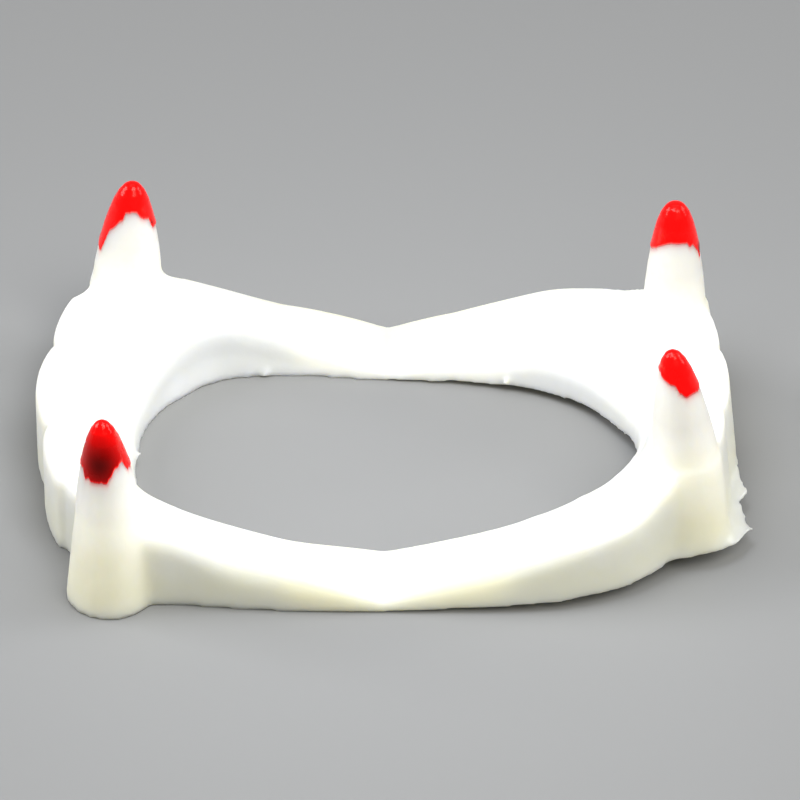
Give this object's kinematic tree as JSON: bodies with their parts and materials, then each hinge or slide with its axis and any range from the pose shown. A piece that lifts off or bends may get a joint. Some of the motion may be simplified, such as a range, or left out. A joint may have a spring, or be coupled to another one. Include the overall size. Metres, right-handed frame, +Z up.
{
  "type": "vampire fang denture",
  "caption": "Soft plastic costume denture with long painted fangs: an upper and a lower arch that lie open and fold together at a thin web.",
  "frame": {"origin": "middle of the opened denture's length and width, on the surface that the upper arch stands on", "axes": "+X from the upper arch to the lower arch, +Y from the near fangs to the far fangs along the fold, +Z up, the way the fangs point"},
  "size_m": [0.0824, 0.0578, 0.0277],
  "materials": {
    "white_plastic": "soft vinyl, milky ivory white, satin, slightly see-through at thin edges",
    "red_paint": "bright red brushed paint, glossy and wet looking, with an uneven lower edge"
  },
  "bodies": {
    "upper": {"upper_arch": "white_plastic", "red_tip_upper_front": "red_paint", "red_tip_upper_back": "red_paint"},
    "lower": {"lower_arch": "white_plastic", "red_tip_lower_front": "red_paint", "red_tip_lower_back": "red_paint"}
  },
  "joints": [
    {"name": "fold", "type": "hinge", "parent": "upper", "child": "lower", "pos_m": [-0.00001, 0, 0.0013], "axis": [0, -1, 0], "range_deg": [-3.1, 124], "stiffness_Nm_per_rad": 0.04, "springref_deg": 2.18}
  ]
}
